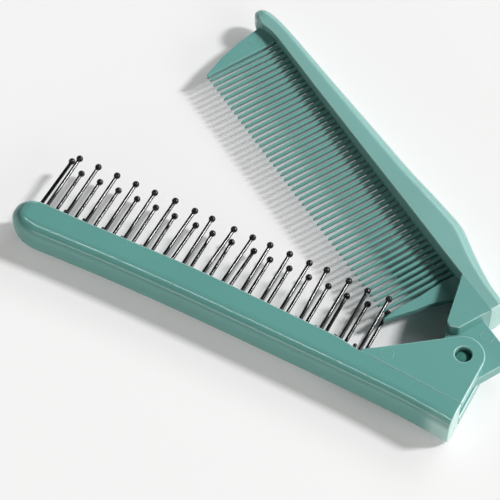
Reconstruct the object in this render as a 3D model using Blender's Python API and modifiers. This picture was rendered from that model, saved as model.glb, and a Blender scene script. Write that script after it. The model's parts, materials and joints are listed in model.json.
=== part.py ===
"""Folding pocket styling brush: a brush arm and a comb arm that share one hinge.

Both arms lie flat on the table. Each arm is described by its own two numbers: how far a point is
along the arm, measured from the hinge axis towards the tip, and how deep it is, measured from the
hinge axis towards the arm's rounded back. Pins and teeth point the other way, to negative depths.
The brush arm runs towards -X with its pins towards +Y. The comb arm hangs on an empty that stands
on the hinge axis, turned to the angle at which the brush lies half open.
"""

import math

import bmesh
import bpy
from mathutils import Matrix, Vector

# Whole object
ARM_LENGTH = 0.1078
COMB_ARM_LENGTH = 0.1068
ARM_ANGLE = math.radians(30.25)
HINGE_X = 0.04964
HINGE_Y = -0.02411
CLEARANCE = 0.0003
OVERRUN = 0.004

# Layers of the hinge, stacked from the table up
EAR_THICKNESS = 0.0031
TONGUE_THICKNESS = 0.0034
THICKNESS = 2 * EAR_THICKNESS + TONGUE_THICKNESS + 2 * CLEARANCE
MIDDLE = THICKNESS / 2

# Backs of the two arms: hollow bars with rounded back edges and round noses
WALL = 0.0008
END_WALL = 0.0016
POCKET_MARGIN = 0.0055
BACK_FILLET = 0.0030
BRUSH_DEPTH = 0.0174
BRUSH_NOSE_DEPTH = 0.0126
BRUSH_POCKET_DEPTH = 0.0138
COMB_DEPTH = 0.0192
COMB_NOSE_DEPTH = 0.0130
COMB_POCKET_DEPTH = 0.0138
COMB_START = 0.0060
COMB_TIP_THINNING = 0.0040
COMB_THINNING_START = 0.0400

# Each row: along the arm as a share of its length, then back and rim as shares of its depth
BRUSH_PROFILE_SHARES = (
    (-0.045, 0.994, 0.661), (0.065, 0.943, 0.622), (0.191, 0.931, 0.569), (0.240, 0.928, 0.523),
    (0.330, 0.925, 0.510), (0.575, 0.925, 0.489), (0.740, 0.946, 0.520), (0.855, 0.977, 0.546),
    (0.927, 1.000, 0.552), (1.000, 1.000, 0.552),
)
COMB_PROFILE_SHARES = (
    (0.056, 0.813, 0.602), (0.102, 0.818, 0.598), (0.134, 0.841, 0.594), (0.195, 0.917, 0.590),
    (0.262, 1.000, 0.589), (0.310, 0.992, 0.589), (0.436, 0.936, 0.589), (0.580, 0.904, 0.594),
    (0.730, 0.862, 0.600), (0.886, 0.828, 0.611), (0.925, 0.815, 0.600), (0.960, 0.808, 0.552),
    (1.000, 0.803, 0.545),
)

# Front edges: a small radius along the rim, which grows to a full round in the nose
LIP_RADIUS = 0.0002
LIP_GROWTH = 0.0075

# Noses: lengths over which back, rim and thickness round off, and how far round the last ring is
NOSE_BACK = 0.0078
NOSE_RIM = 0.0048
NOSE_HEIGHT = 0.0045
NOSE_END_SHARE = 0.97
NOSE_SLOT_MARGIN = 0.0028

# Ears of the brush arm, with the slot for the tongue between them
EAR_LENGTH = 0.0202
EAR_RADIUS = 0.0049
EAR_STEP = 0.0003
EAR_CENTRE_DEPTH = 0.0003
SLOT_DEPTH = 0.0110
HINGE_HOLE_RADIUS = 0.0019
PIN_RECESS = 0.0009
DOME_HEIGHT = 0.0005

# Pins: three rows and one pin in the nose
PIN_COUNT = 17
EAR_TO_PIN = 0.0008
FIRST_PIN = EAR_LENGTH + EAR_TO_PIN
LAST_PIN_MARGIN = 0.0068
ROW_SPACING = 0.0063
PIN_REACH = 0.0058
PIN_RADIUS = 0.00043
BALL_RADIUS = 0.00078
TENON_RADIUS = 0.00030
HEAD_RADIUS = 0.00075
BED_DEPTH = 0.0099
BED_BACK = 0.0122
SHORT_ROW_DROP = 0.0020
SHORT_PIN_END = 0.0052
NOSE_PIN_MARGIN = 0.0040
NOSE_TAB_WIDTH = 0.0030

# Comb: a flat plate of teeth with a guard at each end, a gusset and the tongue
TOOTH_COUNT = 48
FIRST_TOOTH = 0.02070
LAST_TOOTH_MARGIN = 0.01148
TOOTH_REACH = 0.0076
TOOTH_ROOT_WIDTH = 0.00095
TOOTH_TIP_WIDTH = 0.00045
TOOTH_POINT = 0.0006
COMB_PLATE_THICKNESS = 0.0016
COMB_BED_DEPTH = 0.0121
COMB_PLATE_BACK = 0.0130
GUSSET_LENGTH = 0.0171
GUSSET_TOP_DEPTH = 0.0014
GUSSET_TOP = 0.0074
GUSSET_LIP = 0.0029
TONGUE_RADIUS = 0.0054
TONGUE_DEPTH = 0.0100
TONGUE_CORNER = 0.0032

# Guards: along as shares of the guard's width, outwards from the nearest tooth, then reach as
# shares of the teeth's reach
FAR_GUARD_WIDTH = 0.0069
FAR_GUARD_SHARES = ((0.155, 0.98), (0.21, 1.01), (0.575, 0.26), (0.833, -0.54), (1.006, -1.36))
NEAR_GUARD_WIDTH = 0.0066
NEAR_GUARD_SHARES = (
    (1.03, -1.20), (0.91, -0.96), (0.66, -0.29), (0.59, 0.18), (0.47, 0.66), (0.35, 1.14),
    (0.29, 1.10), (0.20, 0.46), (0.22, -0.22), (0.17, -0.68),
)

# Counts of facets
ROUND_STEPS = 24
PIN_STEPS = 8
BALL_RINGS = 5
FILLET_STEPS = 4
LIP_STEPS = 3
CORNER_STEPS = 5
NOSE_STEPS = 7
PROFILE_STEPS = 3

TEAL = (0.098, 0.296, 0.252, 1.0)
BLACK = (0.012, 0.012, 0.013, 1.0)


# Scene and materials

def empty_scene():
    """Remove every object, so that the model stands alone."""
    for old in list(bpy.data.objects):
        bpy.data.objects.remove(old, do_unlink=True)


def new_collection(name):
    """A collection linked to the scene."""
    collection = bpy.data.collections.new(name)
    bpy.context.scene.collection.children.link(collection)
    return collection


def plastic(name, colour, roughness):
    """A plain moulded plastic."""
    material = bpy.data.materials.new(name)
    material.use_nodes = True
    surface = material.node_tree.nodes["Principled BSDF"]
    surface.inputs["Base Color"].default_value = colour
    surface.inputs["Roughness"].default_value = roughness
    surface.inputs["Metallic"].default_value = 0.0
    return material


# Outlines

def arc(centre, radius, start, end, steps):
    """Points along an arc in the plane, both ends included, angles in radians."""
    angles = [start + (end - start) * step / steps for step in range(steps + 1)]
    return [(centre[0] + radius * math.cos(a), centre[1] + radius * math.sin(a)) for a in angles]


def tangent_angle(point, centre, radius):
    """Angle, seen from the centre, where a line from the point touches the circle on its near side."""
    away = math.hypot(point[0] - centre[0], point[1] - centre[1])
    towards = math.atan2(point[1] - centre[1], point[0] - centre[0])
    return towards - math.acos(radius / away)


def smooth(table, column, position):
    """Value of one column of a table at a position, on a curve through all its rows."""
    last = len(table) - 1
    low = 0
    while low < last - 1 and position > table[low + 1][0]:
        low += 1
    here, there = table[low], table[low + 1]
    before, after = table[max(low - 1, 0)], table[min(low + 2, last)]
    span = there[0] - here[0]
    t = (position - here[0]) / span
    slope_here = (there[column] - before[column]) / (there[0] - before[0]) * span
    slope_there = (after[column] - here[column]) / (after[0] - here[0]) * span
    return ((2 * t ** 3 - 3 * t ** 2 + 1) * here[column] + (t ** 3 - 2 * t ** 2 + t) * slope_here
            + (3 * t ** 2 - 2 * t ** 3) * there[column] + (t ** 3 - t ** 2) * slope_there)


class Arm:
    """One arm's own directions: along from the hinge to the tip, depth from the axis to the back."""

    def __init__(self, along_sign, start, length, depth, nose_depth, shares, thinning=(0.0, 0.0)):
        self.along_sign = along_sign
        self.start = start
        self.length = length
        self.depth = depth
        self.nose_depth = nose_depth
        self.shares = shares
        self.thinning_start, self.tip_thinning = thinning

    def place(self, along, depth, height=0.0):
        """The point in the arm's X, Y, Z."""
        return (self.along_sign * along, -depth, height)

    def place_all(self, pairs):
        """The points of an outline in the arm's X and Y."""
        return [self.place(along, depth)[:2] for along, depth in pairs]

    def nose(self, along, nose_length):
        """Share of the full size that is left at this place: 1 until the nose, then an ellipse."""
        into = (along - (self.length - nose_length)) / nose_length
        return math.sqrt(1 - (NOSE_END_SHARE * max(into, 0.0)) ** 2)

    def back(self, along):
        """Depth of the back."""
        full = self.depth * smooth(self.shares, 1, along / self.length)
        return self.nose_depth + (full - self.nose_depth) * self.nose(along, NOSE_BACK)

    def rim(self, along):
        """Depth of the rim, the front edge that the pins or teeth stand behind."""
        full = self.depth * smooth(self.shares, 2, along / self.length)
        return self.nose_depth + (full - self.nose_depth) * self.nose(along, NOSE_RIM)

    def half_thickness(self, along):
        """Half of the bar's thickness before its nose; it shrinks evenly towards the tip."""
        share = max(along - self.thinning_start, 0.0) / (self.length - self.thinning_start)
        return MIDDLE - self.tip_thinning / 2 * share

    def section(self, along):
        """Closed outline across the arm: flat faces, softened front edges and a rounded back."""
        half = self.half_thickness(along) * self.nose(along, NOSE_HEIGHT)
        back = self.back(along)
        rim = self.rim(along)
        fillet = min(BACK_FILLET, half * 0.9, (back - rim) * 0.6)
        grown = max(along - (self.length - LIP_GROWTH), 0.0) / LIP_GROWTH
        full_lip = min(half * 0.9, (back - rim) * 0.35)
        lip = LIP_RADIUS + (full_lip - LIP_RADIUS) * grown * grown * (3 - 2 * grown)
        lip = min(lip, full_lip)
        high, low = MIDDLE + half, MIDDLE - half
        top = arc((rim + lip, high - lip), lip, math.pi, math.pi / 2, LIP_STEPS)
        top += arc((back - fillet, high - fillet), fillet, math.pi / 2, 0.0, FILLET_STEPS)
        bottom = arc((back - fillet, low + fillet), fillet, 0.0, -math.pi / 2, FILLET_STEPS)
        bottom += arc((rim + lip, low + lip), lip, -math.pi / 2, -math.pi, LIP_STEPS)
        return [self.place(along, depth, height) for depth, height in top + bottom]

    def bar(self, along, depth, inset):
        """Box across the arm between two depths, set in from its flat faces."""
        half = self.half_thickness(along) - inset
        corners = ((depth[0], MIDDLE + half), (depth[1], MIDDLE + half),
                   (depth[1], MIDDLE - half), (depth[0], MIDDLE - half))
        return [self.place(along, *corner) for corner in corners]

    def stations(self):
        """Places of the cross sections, close together in the nose."""
        straight_end = self.length - NOSE_BACK
        rows = [share * self.length for share, _, _ in self.shares]
        marks = [self.start] + [row for row in rows if self.start < row < straight_end] + [straight_end]
        places = []
        for low, high in zip(marks, marks[1:]):
            places += [low + (high - low) * step / PROFILE_STEPS for step in range(PROFILE_STEPS)]
        turns = [math.pi / 2 * step / NOSE_STEPS for step in range(NOSE_STEPS + 1)]
        return places + [straight_end + NOSE_BACK * math.sin(turn) for turn in turns]


BRUSH = Arm(-1, -EAR_RADIUS, ARM_LENGTH, BRUSH_DEPTH, BRUSH_NOSE_DEPTH, BRUSH_PROFILE_SHARES)
COMB = Arm(1, COMB_START, COMB_ARM_LENGTH, COMB_DEPTH, COMB_NOSE_DEPTH, COMB_PROFILE_SHARES,
           (COMB_THINNING_START, COMB_TIP_THINNING))


# Solids

def mesh_object(name, build, collection):
    """An object whose mesh the build function fills."""
    mesh = bpy.data.meshes.new(name)
    body = bmesh.new()
    build(body)
    bmesh.ops.recalc_face_normals(body, faces=body.faces)
    body.to_mesh(mesh)
    body.free()
    solid = bpy.data.objects.new(name, mesh)
    collection.objects.link(solid)
    return solid


def loft(name, rings, collection):
    """A closed body through rings that have the same number of points."""
    def build(body):
        loops = [[body.verts.new(point) for point in ring] for ring in rings]
        for here, there in zip(loops, loops[1:]):
            for k in range(len(here)):
                body.faces.new((here[k - 1], here[k], there[k], there[k - 1]))
        body.faces.new(loops[0])
        body.faces.new(loops[-1])
    return mesh_object(name, build, collection)


def prism(name, outline, bottom, top, collection):
    """A flat outline, filled and extruded from bottom to top, as a mesh."""
    curve = bpy.data.curves.new(name, "CURVE")
    curve.dimensions = "2D"
    curve.fill_mode = "BOTH"
    curve.extrude = (top - bottom) / 2
    spline = curve.splines.new("POLY")
    spline.points.add(len(outline) - 1)
    for point, (x, y) in zip(spline.points, outline):
        point.co = (x, y, 0.0, 1.0)
    spline.use_cyclic_u = True
    flat = bpy.data.objects.new(name, curve)
    collection.objects.link(flat)
    bpy.context.view_layer.update()
    graph = bpy.context.evaluated_depsgraph_get()
    mesh = bpy.data.meshes.new_from_object(flat.evaluated_get(graph))
    bpy.data.objects.remove(flat, do_unlink=True)
    bpy.data.curves.remove(curve)
    mesh.name = name
    body = bmesh.new()
    body.from_mesh(mesh)
    bmesh.ops.remove_doubles(body, verts=body.verts, dist=CLEARANCE / 100)
    bmesh.ops.recalc_face_normals(body, faces=body.faces)
    bmesh.ops.translate(body, verts=body.verts, vec=(0.0, 0.0, (top + bottom) / 2))
    body.to_mesh(mesh)
    body.free()
    solid = bpy.data.objects.new(name, mesh)
    collection.objects.link(solid)
    return solid


def box(name, arm, along, depth, height, collection):
    """A block between two places along, deep and high on an arm."""
    corners = ((along[0], depth[0]), (along[1], depth[0]), (along[1], depth[1]), (along[0], depth[1]))
    return prism(name, arm.place_all(corners), height[0], height[1], collection)


def turned(name, profile, steps, collection):
    """A profile of (radius, height) turned about Z; both its ends lie on the axis."""
    mesh = bpy.data.meshes.new(name)
    points = [(radius, 0.0, height) for radius, height in profile]
    edges = [(k, k + 1) for k in range(len(points) - 1)]
    mesh.from_pydata(points, edges, [])
    solid = bpy.data.objects.new(name, mesh)
    collection.objects.link(solid)
    screw = solid.modifiers.new("Turn", "SCREW")
    screw.steps = steps
    screw.render_steps = steps
    screw.use_merge_vertices = True
    screw.merge_threshold = CLEARANCE / 100
    screw.use_smooth_shade = True
    return solid


def combine(target, operand, operation):
    """Join or cut with another object, which then only guides."""
    step = target.modifiers.new(operand.name, "BOOLEAN")
    step.operation = operation
    step.solver = "EXACT"
    step.object = operand
    operand.hide_render = True
    operand.display_type = "WIRE"


def finish(solid, parent, material):
    """Give a piece its material and hang it, with the bodies that shape it, on its arm."""
    if not solid.data.materials:
        solid.data.materials.append(material)
    solid.parent = parent
    for step in solid.modifiers:
        if step.type == "BOOLEAN":
            step.object.parent = parent


# Backs of the arms

def hollow_back(name, arm, pocket_depth, slot_width, parts, cutters):
    """The arm's outer bar with its pocket and nose slot, both open at the front."""
    shell = loft(name, [arm.section(along) for along in arm.stations()], parts)
    pocket_end = arm.length - POCKET_MARGIN
    places = [arm.start + END_WALL, COMB_THINNING_START, pocket_end]
    rings = [arm.bar(along, (-OVERRUN, pocket_depth), WALL) for along in places]
    combine(shell, loft(name + "_pocket", rings, cutters), "DIFFERENCE")
    slot = box(name + "_nose_slot", arm, (pocket_end - OVERRUN, arm.length - NOSE_SLOT_MARGIN),
               (-OVERRUN, pocket_depth), (MIDDLE - slot_width / 2, MIDDLE + slot_width / 2), cutters)
    combine(shell, slot, "DIFFERENCE")
    return shell


def hinge_hole(name, cutters):
    """The round cutter on the hinge axis."""
    def build(body):
        bmesh.ops.create_cone(body, cap_ends=True, segments=ROUND_STEPS, radius1=HINGE_HOLE_RADIUS,
                              radius2=HINGE_HOLE_RADIUS, depth=THICKNESS + 2 * OVERRUN)
        bmesh.ops.translate(body, verts=body.verts, vec=(0.0, 0.0, MIDDLE))
    return mesh_object(name, build, cutters)


# Brush arm

def pin_places():
    """Every pin as (name, along, height, has a ball)."""
    pitch = (ARM_LENGTH - LAST_PIN_MARGIN - FIRST_PIN) / (PIN_COUNT - 1)
    places = []
    for k in range(PIN_COUNT):
        along = FIRST_PIN + k * pitch
        places.append((f"pin_upper_{k + 1:02d}", along, MIDDLE + ROW_SPACING / 2, True))
        places.append((f"pin_lower_{k + 1:02d}", along, MIDDLE - ROW_SPACING / 2, True))
    for k in range(PIN_COUNT - 1):
        along = FIRST_PIN + (k + 1 / 2) * pitch
        places.append((f"pin_short_{k + 1:02d}", along, MIDDLE - SHORT_ROW_DROP, False))
    places.append(("pin_nose", ARM_LENGTH - NOSE_PIN_MARGIN, MIDDLE, True))
    return places


def pin_foot():
    """Shoulder on the carrier, tenon through it and head behind it, from the shoulder down."""
    head_top = BED_BACK + CLEARANCE
    head_end = BRUSH_POCKET_DEPTH - CLEARANCE
    return [
        (PIN_RADIUS, CLEARANCE - BED_DEPTH), (TENON_RADIUS, CLEARANCE - BED_DEPTH),
        (TENON_RADIUS, -head_top), (HEAD_RADIUS, -head_top), (HEAD_RADIUS, -head_end), (0.0, -head_end),
    ]


def ball_pin_profile():
    """A pin with a ball at its tip, heights measured from the hinge axis."""
    neck = math.pi - math.asin(PIN_RADIUS / BALL_RADIUS)
    turns = [neck * ring / BALL_RINGS for ring in range(BALL_RINGS + 1)]
    ball = [(BALL_RADIUS * math.sin(turn), PIN_REACH + BALL_RADIUS * math.cos(turn)) for turn in turns]
    return ball + pin_foot()


def short_pin_profile():
    """A short pin with a plain, slightly chamfered end."""
    chamfer = PIN_RADIUS / 3
    shoulder = -SHORT_PIN_END - chamfer
    end = [(0.0, -SHORT_PIN_END), (PIN_RADIUS - chamfer, -SHORT_PIN_END), (PIN_RADIUS, shoulder)]
    return end + pin_foot()


def make_pins(parent, material, parts):
    """Every pin is its own piece; pins of one kind share a mesh."""
    meshes = {}
    profiles = {True: ball_pin_profile(), False: short_pin_profile()}
    for name, along, height, has_ball in pin_places():
        pin = turned(name, profiles[has_ball], PIN_STEPS, parts)
        pin.data = meshes.setdefault(has_ball, pin.data)
        pin.location = BRUSH.place(along, 0.0, height)
        pin.rotation_euler = (-math.pi / 2, 0.0, 0.0)
        finish(pin, parent, material)


def pin_holes(cutters):
    """One cutter with a round hole for every tenon."""
    reach = BRUSH_POCKET_DEPTH - BED_DEPTH + 2 * CLEARANCE
    turn = Matrix.Rotation(math.pi / 2, 4, "X")

    def build(body):
        for _, along, height, _ in pin_places():
            centre = Vector(BRUSH.place(along, (BRUSH_POCKET_DEPTH + BED_DEPTH) / 2, height))
            bmesh.ops.create_cone(body, cap_ends=True, segments=PIN_STEPS, depth=reach,
                                  radius1=TENON_RADIUS + CLEARANCE, radius2=TENON_RADIUS + CLEARANCE,
                                  matrix=Matrix.Translation(centre) @ turn)
    return mesh_object("pin_holes", build, cutters)


def ear_outline():
    """Seam along the back's rim, sloping front edge, round end about the hinge, straight end face."""
    span = EAR_LENGTH + EAR_RADIUS
    seam_steps = [span * step / CORNER_STEPS - EAR_RADIUS for step in range(CORNER_STEPS + 1)]
    seam = [(along, BRUSH.rim(along) - CLEARANCE) for along in seam_steps]
    start = (EAR_LENGTH, seam[-1][1] - EAR_STEP)
    centre = (0.0, EAR_CENTRE_DEPTH)
    touch = tangent_angle(start, centre, EAR_RADIUS)
    return seam + [start] + arc(centre, EAR_RADIUS, touch, -math.pi, ROUND_STEPS // 2)


def carrier_outline():
    """The part of the carrier inside the pocket: bed for the pins and a thick root for the ears."""
    start = BRUSH.start + END_WALL + CLEARANCE
    end = ARM_LENGTH - POCKET_MARGIN - CLEARANCE
    root_end = FIRST_PIN - HEAD_RADIUS - 2 * CLEARANCE
    root_back = BRUSH_POCKET_DEPTH - CLEARANCE
    return [
        (start, BRUSH.rim(start) - 2 * CLEARANCE), (EAR_LENGTH, BRUSH.rim(EAR_LENGTH) - 2 * CLEARANCE),
        (EAR_LENGTH + CLEARANCE, BED_DEPTH), (end, BED_DEPTH), (end, BED_BACK), (root_end, BED_BACK),
        (root_end, root_back), (start, root_back),
    ]


def make_carrier(parts, cutters):
    """The inner piece of the brush arm, which holds the pins and ends in the two ears."""
    inside = WALL + CLEARANCE
    carrier = prism("brush_carrier", BRUSH.place_all(carrier_outline()), inside, THICKNESS - inside, parts)
    end = ARM_LENGTH - POCKET_MARGIN
    tab = box("nose_tab", BRUSH, (end - OVERRUN, ARM_LENGTH - NOSE_SLOT_MARGIN - CLEARANCE),
              (BED_DEPTH + CLEARANCE, BED_BACK - CLEARANCE),
              (MIDDLE - NOSE_TAB_WIDTH / 2, MIDDLE + NOSE_TAB_WIDTH / 2), cutters)
    combine(carrier, tab, "UNION")
    outline = BRUSH.place_all(ear_outline())
    slot = box("tongue_slot", BRUSH, (BRUSH.start - OVERRUN, EAR_LENGTH + CLEARANCE),
               (-EAR_RADIUS - OVERRUN, SLOT_DEPTH), (EAR_THICKNESS, THICKNESS - EAR_THICKNESS), cutters)
    combine(carrier, slot, "DIFFERENCE")
    combine(carrier, prism("lower_ear", outline, 0.0, EAR_THICKNESS, cutters), "UNION")
    combine(carrier, prism("upper_ear", outline, THICKNESS - EAR_THICKNESS, THICKNESS, cutters), "UNION")
    combine(carrier, hinge_hole("ear_hole", cutters), "DIFFERENCE")
    combine(carrier, pin_holes(cutters), "DIFFERENCE")
    return carrier


def hinge_pin_profile():
    """A straight pin with shallow domes, both sunk below the ears' faces."""
    radius = HINGE_HOLE_RADIUS - CLEARANCE
    turns = [math.pi / 2 * step / FILLET_STEPS for step in range(FILLET_STEPS + 1)]
    dome = [(radius * math.sin(turn), DOME_HEIGHT * math.cos(turn)) for turn in turns]
    top = [(r, THICKNESS - PIN_RECESS - DOME_HEIGHT + h) for r, h in dome]
    bottom = [(r, PIN_RECESS + DOME_HEIGHT - h) for r, h in reversed(dome)]
    return top + bottom


# Comb arm

def teeth_outline():
    """The flat comb seen from above: near guard, teeth, far guard and a straight back."""
    far_tooth = COMB_ARM_LENGTH - LAST_TOOTH_MARGIN
    pitch = (far_tooth - FIRST_TOOTH) / (TOOTH_COUNT - 1)
    root = COMB_BED_DEPTH + CLEARANCE
    near = [(FIRST_TOOTH - out * NEAR_GUARD_WIDTH, -up * TOOTH_REACH) for out, up in NEAR_GUARD_SHARES]
    far = [(far_tooth + out * FAR_GUARD_WIDTH, -up * TOOTH_REACH) for out, up in FAR_GUARD_SHARES]
    outline = [(near[0][0], COMB_PLATE_BACK)] + near + [(near[-1][0], root)]
    for k in range(TOOTH_COUNT):
        along = FIRST_TOOTH + k * pitch
        outline += [
            (along - TOOTH_ROOT_WIDTH / 2, root), (along - TOOTH_TIP_WIDTH / 2, TOOTH_POINT - TOOTH_REACH),
            (along, -TOOTH_REACH),
            (along + TOOTH_TIP_WIDTH / 2, TOOTH_POINT - TOOTH_REACH), (along + TOOTH_ROOT_WIDTH / 2, root),
        ]
    return outline + [(far[0][0], root)] + far + [(far[-1][0], COMB_PLATE_BACK)]


def spine_rings():
    """The part of the comb piece inside the pocket, with a step for the gusset's root."""
    start = COMB.start + END_WALL + CLEARANCE
    end = COMB_ARM_LENGTH - POCKET_MARGIN - CLEARANCE
    back = COMB_POCKET_DEPTH - CLEARANCE
    stations = (
        (start, COMB.rim(start) - 2 * CLEARANCE), (GUSSET_LENGTH, COMB.rim(GUSSET_LENGTH) - 2 * CLEARANCE),
        (GUSSET_LENGTH + CLEARANCE, COMB_BED_DEPTH), (COMB_THINNING_START, COMB_BED_DEPTH),
        (end, COMB_BED_DEPTH),
    )
    return [COMB.bar(along, (front, back), WALL + CLEARANCE) for along, front in stations]


def gusset_outline():
    """Seam along the rim, sloping front edge, blunt top and straight end face."""
    foot = (GUSSET_LENGTH, COMB.rim(GUSSET_LENGTH) - CLEARANCE)
    turn = tangent_angle(foot, (0.0, 0.0), TONGUE_RADIUS + CLEARANCE)
    touch = arc((0.0, 0.0), TONGUE_RADIUS + CLEARANCE, turn, turn, 1)[0]
    shoulder = 2 * GUSSET_TOP - COMB.start
    share = (foot[0] - shoulder) / (foot[0] - touch[0])
    return [
        foot, (shoulder, foot[1] + (touch[1] - foot[1]) * share), (GUSSET_TOP, GUSSET_TOP_DEPTH),
        (COMB.start, GUSSET_LIP), (COMB.start, COMB.rim(COMB.start) - CLEARANCE),
    ]


def tongue_outline():
    """Front edge that runs into the round about the hinge, end face, round corner and straight side."""
    foot = (GUSSET_LENGTH - TONGUE_THICKNESS / 2, TONGUE_DEPTH)
    turn = tangent_angle(foot, (0.0, 0.0), TONGUE_RADIUS)
    hub = arc((0.0, 0.0), TONGUE_RADIUS, turn, -math.pi, ROUND_STEPS // 2)
    corner_centre = (TONGUE_CORNER - TONGUE_RADIUS, TONGUE_DEPTH - TONGUE_CORNER)
    return [foot] + hub + arc(corner_centre, TONGUE_CORNER, math.pi, math.pi / 2, CORNER_STEPS)


def make_comb(parts, cutters):
    """The inner piece of the comb arm: spine, teeth, guards, gusset and tongue."""
    half = COMB_PLATE_THICKNESS / 2
    low = EAR_THICKNESS + CLEARANCE
    comb = loft("comb_teeth", spine_rings(), parts)
    bodies = (
        ("tooth_plate", teeth_outline(), MIDDLE - half, MIDDLE + half),
        ("gusset", gusset_outline(), 0.0, THICKNESS),
        ("tongue", tongue_outline(), low, low + TONGUE_THICKNESS),
    )
    for name, outline, bottom, top in bodies:
        combine(comb, prism(name, COMB.place_all(outline), bottom, top, cutters), "UNION")
    combine(comb, hinge_hole("tongue_hole", cutters), "DIFFERENCE")
    return comb


def main():
    """Build both arms round the hinge."""
    empty_scene()
    parts = new_collection("pocket_styling_brush")
    cutters = new_collection("cutters")
    teal = plastic("teal_plastic", TEAL, 0.35)
    teal_pin = plastic("teal_pin_plastic", TEAL, 0.3)
    black = plastic("black_pin_plastic", BLACK, 0.25)

    brush_arm = bpy.data.objects.new("brush_arm", None)
    comb_arm = bpy.data.objects.new("comb_arm", None)
    for arm in (brush_arm, comb_arm):
        parts.objects.link(arm)
        arm.location = (HINGE_X, HINGE_Y, 0.0)
    comb_arm.rotation_euler = (0.0, 0.0, math.pi - ARM_ANGLE)

    brush_slot = NOSE_TAB_WIDTH + 2 * CLEARANCE
    comb_slot = COMB_PLATE_THICKNESS + 2 * CLEARANCE
    finish(hollow_back("brush_back", BRUSH, BRUSH_POCKET_DEPTH, brush_slot, parts, cutters), brush_arm, teal)
    finish(make_carrier(parts, cutters), brush_arm, teal)
    make_pins(brush_arm, black, parts)
    finish(turned("hinge_pin", hinge_pin_profile(), ROUND_STEPS, parts), brush_arm, teal_pin)
    finish(hollow_back("comb_back", COMB, COMB_POCKET_DEPTH, comb_slot, parts, cutters), comb_arm, teal)
    finish(make_comb(parts, cutters), comb_arm, teal)


main()
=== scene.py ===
# %% [markdown]
# # A folding pocket brush, half open on a table
# The object is a pocket brush that folds like a clasp knife. One arm is a slim hollow bar that
# carries black ball-tipped pins, the other is a fine comb, and both turn about one short hinge pin.
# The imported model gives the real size, the hinge and what moves. This notebook builds the finished
# surfaces in the same frame.

import json
import math

import bmesh
import bpy
import numpy as np
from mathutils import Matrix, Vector


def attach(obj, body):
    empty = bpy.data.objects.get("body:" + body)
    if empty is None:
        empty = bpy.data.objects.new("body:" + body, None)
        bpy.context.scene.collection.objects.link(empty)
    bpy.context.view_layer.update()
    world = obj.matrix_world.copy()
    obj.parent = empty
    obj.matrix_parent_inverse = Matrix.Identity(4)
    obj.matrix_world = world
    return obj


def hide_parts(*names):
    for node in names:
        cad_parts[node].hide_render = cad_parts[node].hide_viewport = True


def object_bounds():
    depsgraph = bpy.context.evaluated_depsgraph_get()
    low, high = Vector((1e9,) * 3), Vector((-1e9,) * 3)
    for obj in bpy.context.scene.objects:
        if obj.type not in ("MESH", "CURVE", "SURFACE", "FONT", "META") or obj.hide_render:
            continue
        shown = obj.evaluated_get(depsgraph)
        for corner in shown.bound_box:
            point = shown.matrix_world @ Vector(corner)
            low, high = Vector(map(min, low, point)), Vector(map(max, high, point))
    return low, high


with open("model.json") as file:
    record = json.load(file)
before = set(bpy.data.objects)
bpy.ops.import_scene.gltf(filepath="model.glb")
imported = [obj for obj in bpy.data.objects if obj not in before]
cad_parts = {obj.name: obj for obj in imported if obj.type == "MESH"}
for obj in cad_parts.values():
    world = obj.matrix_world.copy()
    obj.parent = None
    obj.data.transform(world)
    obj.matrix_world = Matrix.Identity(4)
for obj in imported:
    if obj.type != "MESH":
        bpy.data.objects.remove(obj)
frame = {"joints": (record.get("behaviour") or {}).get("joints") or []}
cad_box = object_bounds()
hinge = frame["joints"][0]
hinge_x, hinge_y, _ = hinge["pos_m"]
thickness = cad_box[1].z - cad_box[0].z

# %% [markdown]
# ## The camera
# The photograph is taken from the front and well above, from half a metre away with a long lens, so
# the two arms keep almost the same scale. The camera looks at a point on the table by the tips of the
# brush's middle pins and stands at the photograph's azimuth and elevation. It has no roll.

# %% Camera
MM = 0.001
look_at = Vector((-7.2 * MM, -17.1 * MM, 0.0))
camera_distance = 523.2 * MM
camera_azimuth = math.radians(28.19)
camera_elevation = math.radians(58.38)
lens = 163.4

back = Vector((
    math.sin(camera_azimuth) * math.cos(camera_elevation),
    -math.cos(camera_azimuth) * math.cos(camera_elevation),
    math.sin(camera_elevation),
))
camera = bpy.data.objects.new("camera", bpy.data.cameras.new("camera"))
bpy.context.scene.collection.objects.link(camera)
camera.location = look_at + back * camera_distance
camera.rotation_mode = "QUATERNION"
camera.rotation_quaternion = (-back).to_track_quat("-Z", "Y")
camera.data.lens = lens
camera.data.sensor_width = 36.0
camera.data.clip_start = 0.05
camera.data.clip_end = 20.0
bpy.context.scene.camera = camera
print("camera at", [round(c, 4) for c in camera.location])

# %% [markdown]
# ## The light
# One broad lamp from the right and behind gives the grey shadows that fall to the left. The rest of
# the light comes from four panels round the brush, the weakest at the left, so open shadows are pale
# while the pocket between the arms, which their walls close off, stays dark. The room itself is
# nearly dark. Three more panels are seen only in the gloss and add no light of their own: they draw
# the thin bright lines on the rounded back, the edges and the pins, as the windows of a bright room do.

# %% The broad lamp
scene = bpy.context.scene
scene.view_settings.view_transform = "Standard"
lamp_strength = 3.05
lamp_angle = math.radians(9.0)
lamp_from = Vector((0.95, 0.62, 1.0)).normalized()

lamp = bpy.data.objects.new("lamp", bpy.data.lights.new("lamp", "SUN"))
scene.collection.objects.link(lamp)
lamp.data.energy = lamp_strength
lamp.data.angle = lamp_angle
lamp.rotation_mode = "QUATERNION"
lamp.rotation_quaternion = lamp_from.to_track_quat("Z", "Y")
print("lamp stands", round(math.degrees(math.asin(lamp_from.z)), 1), "degrees above the table")


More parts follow.
